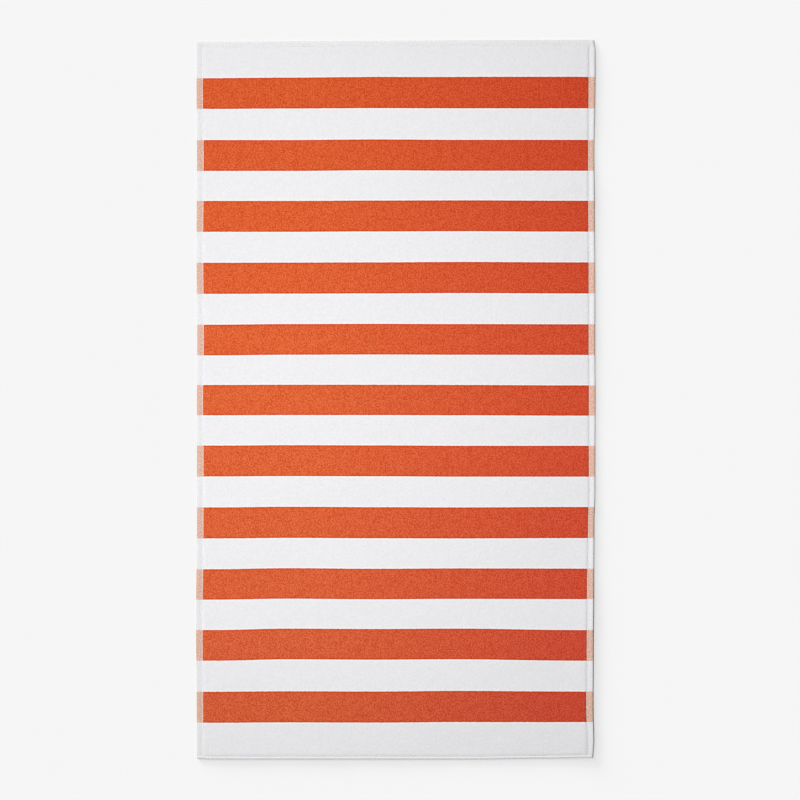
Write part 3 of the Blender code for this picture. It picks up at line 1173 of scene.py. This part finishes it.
@dataclass(frozen=True)
class Stitching:
    """A row of lockstitches that holds one hem down."""

    pitch: float = 0.0031
    half_length: float = 0.00135
    thread_radius: float = 0.00027
    rings: tuple[Triple, ...] = (  # columns: shares of the half length and the radius, lift
        (-1.0, 0.5, -0.00025), (-0.66, 0.9, 0.00005), (0.0, 1.0, 0.00017),
        (0.66, 0.9, 0.00005), (1.0, 0.5, -0.00025),
    )
    slant: float = 0.09  # how far a stitch turns out of its row, in radians
    slant_spread: float = 0.8  # how differently stitches turn, as a share of that
    stray: float = 0.0002  # how unevenly the row runs, from side to side
    seed: int = 5

    def build(self, name: str, seam: Seam, cloth: Cloth, thread: Material) -> Object:
        """Build the row.

        Args:
            name: The piece's name.
            seam: The line that it follows.
            cloth: The cloth that it holds.
            thread: The finish of the thread.

        Returns:
            The row of stitches.
        """
        reach, radius = self.half_length, self.thread_radius
        rings = tuple((place * reach, size * radius, lift) for place, size, lift in self.rings)
        flat, points, axes = seam.spots(cloth, self.pitch)
        draw = np.random.default_rng(self.seed)
        angles = self.slant * (1.0 + scattered(draw, len(points), self.slant_spread))
        forward, outward = axes[:, 0].copy(), axes[:, 1].copy()
        axes[:, 0] = forward * np.cos(angles) + outward * np.sin(angles)
        axes[:, 1] = outward * np.cos(angles) - forward * np.sin(angles)
        points += outward * scattered(draw, len(points), self.stray)
        span = (2.0 * math.pi * radius, 2.0 * reach)
        return SmallForm(rings, sides=6).repeated(points, axes, flat, span).piece(name, [thread])


@dataclass(frozen=True)
class PileEdge:
    """Tufts along the edge of the pile, which lean out over the hem's stitches."""

    pitch: float = 0.0013
    rows: Rows = ((0.0004, 0.45), (0.0011, 0.25))  # columns: distance in from the pile's foot, lean
    root: float = 0.0005  # how deep a tuft's foot is hidden
    length: float = 0.0006  # how far a tuft stands out
    radius: float = 0.00050
    foot_radius: float = 0.7  # of its hidden foot, as a share of that
    rings: Rows = ((0.2, 1.0), (0.75, 0.75), (1.0, 0.3))  # columns: shares of the length and the radius
    shift_along: float = 0.8  # how unevenly tufts follow each other, as a share of the pitch
    stray: float = 0.0004  # how unevenly the row runs, from side to side
    lean_spread: float = 0.5  # how differently tufts lean out
    side_lean: float = 0.7  # how differently they lean along the row
    size_spread: float = 0.4
    span: tuple[float, float] = (0.001, 0.001)  # how much of the finish shows on one tuft
    seed: int = 11

    def build(self, name: str, seam: Seam, cloth: Cloth, pile: Material) -> Object:
        """Build the tufts.

        Args:
            name: The piece's name.
            seam: The line of the pile's foot.
            cloth: The cloth that they stand on.
            pile: The finish of the pile.

        Returns:
            The tufts.
        """
        rings = [(-self.root, self.foot_radius * self.radius, 0.0)]
        rings += [(place * self.length, size * self.radius, 0.0) for place, size in self.rings]
        form = SmallForm(tuple(rings), sides=5)
        draw = np.random.default_rng(self.seed)
        rows = []
        for inset, lean in self.rows:
            row = Seam(seam.edge, seam.inset + inset, seam.margins)
            flat, points, axes = row.spots(cloth, self.pitch)
            count = len(points)
            forward, outward, up = axes[:, 0], axes[:, 1], axes[:, 2]
            points = points + forward * scattered(draw, count, self.pitch * self.shift_along)
            points += outward * scattered(draw, count, self.stray)
            tilt = outward * (lean + scattered(draw, count, self.lean_spread))
            tilt += forward * scattered(draw, count, self.side_lean)
            axis = up + tilt
            axis /= np.linalg.norm(axis, axis=1)[:, None]
            aside = np.cross(axis, forward)
            aside /= np.linalg.norm(aside, axis=1)[:, None]
            axes = np.stack([axis, aside, np.cross(axis, aside)], axis=1)
            axes *= 1.0 + scattered(draw, count, self.size_spread)[:, None]
            rows.append((flat, points, axes))
        flat, points, axes = (np.concatenate(parts) for parts in zip(*rows))
        return form.repeated(points, axes, flat, self.span).piece(name, [pile])


# ---------------------------------------------------------------- studio


class LampKind(Enum):
    """The kinds of lamp in the studio."""

    SUN = "SUN"
    PANEL = "AREA"


@dataclass(frozen=True)
class Lamp:
    """One lamp, which may light only some of the pieces."""

    name: str
    kind: LampKind
    power: float  # a sun's in watts for each square metre, or a panel's in watts
    width: float  # a sun's angle in degrees, or a panel's side in metres
    position: Triple  # a panel's place, or the direction that a sun shines from
    target: Triple = (0.0, 0.0, 0.0)

    def build(self, lit: list[Object]) -> None:
        """Place the lamp.

        Args:
            lit: The only pieces that it lights.
        """
        data = bpy.data.lights.new(self.name, self.kind.value)
        data.energy = self.power
        if self.kind is LampKind.SUN:
            data.angle = math.radians(self.width)
        else:
            data.size = self.width
        lamp = placed(self.name, data)
        lamp.location = self.position
        pointing = Vector(self.target) - Vector(self.position)
        lamp.rotation_mode = "QUATERNION"
        lamp.rotation_quaternion = pointing.to_track_quat("-Z", "Y")
        lamp.visible_camera = False
        receivers = bpy.data.collections.new(self.name + "_lights")
        for piece in lit:
            receivers.objects.link(piece)
        lamp.light_linking.receiver_collection = receivers


def from_sky(azimuth: float, elevation: float) -> Triple:
    """Return the direction of a place in the sky.

    Args:
        azimuth: Its bearing in degrees, anticlockwise from +X.
        elevation: Its height above the horizon in degrees.

    Returns:
        The direction, one metre long.
    """
    bearing, rise = math.radians(azimuth), math.radians(elevation)
    return (math.cos(bearing) * math.cos(rise), math.sin(bearing) * math.cos(rise), math.sin(rise))


@dataclass
class Studio:
    """The floor, the backdrop, the lamps and the camera."""

    floor_height: float = -0.0003  # just under the towel
    floor_reach: float = 30.0  # from its middle to each side
    floor_grey: RGB = (0.3, 0.3, 0.3)
    backdrop_radius: float = 45.0
    backdrop_foot: float = -2.0  # how high its lower edge is
    backdrop_sides: int = 96
    ambient: float = 0.10  # the strength of the even light from all around
    paper: float = 0.913  # how bright the backdrop looks
    towel_lamps: tuple[Lamp, ...] = (
        Lamp("key_sun", LampKind.SUN, 2.08, 24.0, from_sky(128.0, 38.0)),
        Lamp("soft_panel", LampKind.PANEL, 38.3, 0.9, (-0.40, 0.155, 2.5), (-0.40, 0.155, 0.0)),
    )
    floor_lamps: tuple[Lamp, ...] = (
        Lamp("floor_wash", LampKind.SUN, 8.27, 10.0, from_sky(176.0, 62.0)),
        Lamp("floor_slant", LampKind.SUN, 3.61, 25.0, from_sky(140.0, 16.0)),
        Lamp("floor_rake", LampKind.SUN, 9.91, 8.0, from_sky(131.0, 5.7)),
    )
    picture_width: float = 2.0045  # how much of the floor the picture takes in
    camera_middle: tuple[float, float] = (0.0110, -0.0009)  # the place under the camera
    lens: float = 85.0  # in millimetres, as is the sensor
    sensor: float = 36.0

    @staticmethod
    def _staged(name: str, points: list[Triple], faces: Faces, finish: PlainFinish) -> Object:
        """Make a piece of the studio.

        Args:
            name: The piece's name.
            points: Its points.
            faces: Its faces.
            finish: Its finish.

        Returns:
            The piece.
        """
        mesh = bpy.data.meshes.new(name)
        mesh.from_pydata(points, [], faces)
        mesh.materials.append(finish.material())
        return placed(name, mesh)

    def floor(self) -> Object:
        """Lay the floor.

        Returns:
            The floor.
        """
        signs = ((-1.0, -1.0), (1.0, -1.0), (1.0, 1.0), (-1.0, 1.0))
        corners = [(x * self.floor_reach, y * self.floor_reach, 0.0) for x, y in signs]
        finish = PlainFinish("pale_floor", self.floor_grey)
        floor = self._staged("floor", corners, [[0, 1, 2, 3]], finish)
        floor.location.z = self.floor_height
        return floor

    def backdrop(self) -> None:
        """Stand a pale round wall behind everything, which only the camera sees."""
        count, radius = self.backdrop_sides, self.backdrop_radius
        turns = [2.0 * math.pi * k / count for k in range(count)]
        levels = (self.backdrop_foot, radius)
        points = [(radius * math.cos(a), radius * math.sin(a), z) for z in levels for a in turns]
        faces = [[k, k + count, (k + 1) % count + count, (k + 1) % count] for k in range(count)]
        finish = PlainFinish("pale_backdrop", (0.0, 0.0, 0.0), glow=self.paper)
        wall = self._staged("backdrop", points, faces, finish)
        for ray in ("diffuse", "glossy", "transmission", "shadow", "volume_scatter"):
            setattr(wall, "visible_" + ray, False)

    def light(self, pieces: list[Object], floor: Object) -> None:
        """Light the towel and the floor, each with lamps of its own.

        Args:
            pieces: The towel's pieces.
            floor: The floor.
        """
        world = bpy.data.worlds.new("studio")
        world.use_nodes = True
        background = world.node_tree.nodes["Background"].inputs
        background["Color"].default_value = (1.0, 1.0, 1.0, 1.0)
        background["Strength"].default_value = self.ambient
        bpy.context.scene.world = world
        for lamp in self.towel_lamps:
            lamp.build(pieces)
        for lamp in self.floor_lamps:
            lamp.build([floor])

    def camera(self) -> None:
        """Hang the camera straight above the towel, with +Y up in the picture."""
        data = bpy.data.cameras.new("camera")
        data.lens = self.lens
        data.sensor_width = self.sensor
        camera = placed("camera", data)
        camera.location = (*self.camera_middle, self.picture_width * self.lens / self.sensor)
        bpy.context.scene.camera = camera


def main() -> None:
    """Build the towel, its sewing and the studio, in order."""
    logging.basicConfig(level=logging.INFO, format="%(name)s: %(message)s")
    bpy.context.scene.view_settings.view_transform = "Standard"
    pile = PileFinish().material()
    flat_weave = FlatWeaveFinish().material()
    thread = ThreadFinish().material()

    cloth = Cloth()
    towel = TowelSheet(cloth).build(pile, flat_weave)
    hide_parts(NODE)
    trimmings = []
    for edge in (*Side, *End):
        hem, name = HEMS[edge], edge.name.lower()
        on_side = isinstance(edge, Side)
        crossed = (FOOT_HEM, HEAD_HEM) if on_side else (SIDE_HEM, SIDE_HEM)
        stops = (FOOT_HEM.stitches, HEAD_HEM.stitches) if on_side else (END_SEAM_STOP, END_SEAM_STOP)
        stitch_line = Seam(edge, hem.stitches, stops)
        pile_foot = Seam(edge, hem.pile_foot, (crossed[0].pile_foot, crossed[1].pile_foot))
        trimmings.append(Stitching().build("stitches_" + name, stitch_line, cloth, thread))
        trimmings.append(PileEdge().build("pile_edge_" + name, pile_foot, cloth, pile))

    studio = Studio()
    floor = studio.floor()
    studio.backdrop()
    studio.light([towel, *trimmings], floor)
    studio.camera()


if __name__ == "__main__":
    main()
